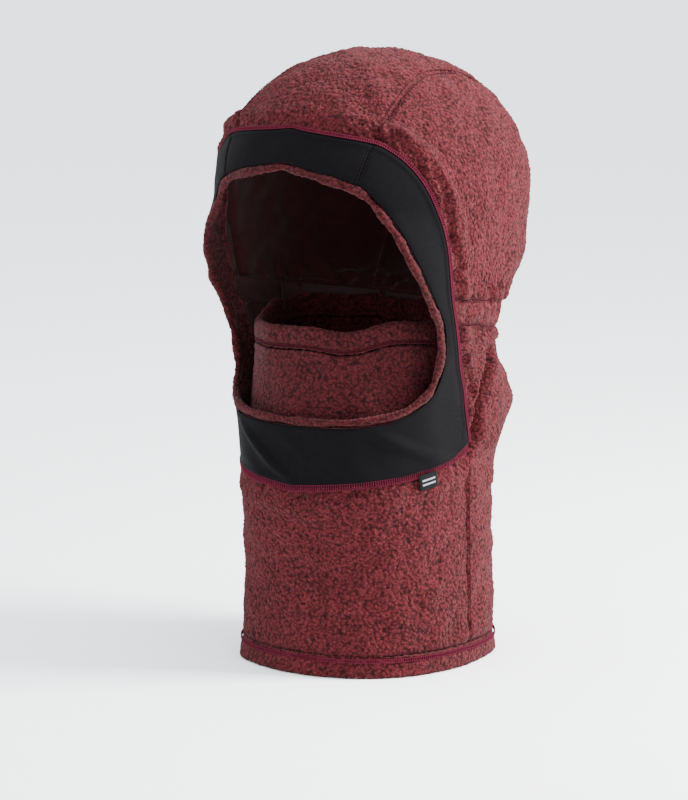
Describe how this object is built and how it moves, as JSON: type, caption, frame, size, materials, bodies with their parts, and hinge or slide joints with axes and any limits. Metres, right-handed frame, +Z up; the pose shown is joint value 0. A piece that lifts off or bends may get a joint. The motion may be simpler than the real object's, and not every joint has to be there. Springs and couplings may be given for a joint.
{
  "type": "balaclava",
  "caption": "Fleece hood for wear over a ski helmet, with a woven face trim, a sewn-in face gaiter that pulls down and a woven tab.",
  "frame": {"origin": "centre of the wearer's head, at eye level, which is 335 mm above the neck hem", "axes": "+Z up, the face looks along -Y, +X towards the wearer's left"},
  "size_m": [0.2358, 0.2676, 0.4974],
  "materials": {
    "pile_fleece": "curly high-pile fleece, matt",
    "fleece_lining": "brushed fleece back, matt",
    "gaiter_fleece": "low-pile fleece, matt",
    "woven_trim": "tight plain weave, slight sheen",
    "stitch_thread": "polyester coverstitch thread, soft gloss",
    "seam_thread": "polyester seam thread",
    "elastic": "knitted elastic and binding tape",
    "woven_label": "damask weave, plain"
  },
  "bodies": {
    "hood": {"crown_center_panel": "pile_fleece", "crown_side_panel_left": "pile_fleece", "crown_side_panel_right": "pile_fleece", "crown_seam_stitch_left": "seam_thread", "crown_seam_stitch_right": "seam_thread", "nape_band": "pile_fleece", "nape_elastic": "elastic", "nape_stitch_upper": "seam_thread", "nape_stitch_lower": "seam_thread", "neck_back_panel": "pile_fleece", "neck_front_panel": "pile_fleece", "side_seam_stitch_left": "seam_thread", "side_seam_stitch_right": "seam_thread", "neck_hem": "pile_fleece", "neck_hem_stitch": "stitch_thread", "face_trim_top": "woven_trim", "face_trim_lower": "woven_trim", "trim_facing_top": "fleece_lining", "trim_facing_lower": "fleece_lining", "trim_join_stitch_left": "seam_thread", "trim_join_stitch_right": "seam_thread", "trim_coverstitch_upper": "stitch_thread", "trim_coverstitch_chin": "stitch_thread", "opening_binding": "pile_fleece", "gaiter_tube": "gaiter_fleece", "gaiter_seam_tape": "elastic"},
    "gaiter_rim": {"gaiter_hem": "gaiter_fleece", "gaiter_hem_elastic": "elastic", "gaiter_hem_stitch": "stitch_thread"},
    "label": {"woven_label": "woven_label"}
  },
  "joints": [
    {"name": "gaiter_pull_down", "type": "slide", "parent": "hood", "child": "gaiter_rim", "axis": [0, 0, -1], "range_m": [0, 0.075], "deforming": ["gaiter_tube"]},
    {"name": "label_flip", "type": "hinge", "parent": "hood", "child": "label", "pos_m": [0.09183, -0.05228, -0.16919], "axis": [-0.3143, -0.9345, -0.167], "range_deg": [0, 120]}
  ]
}
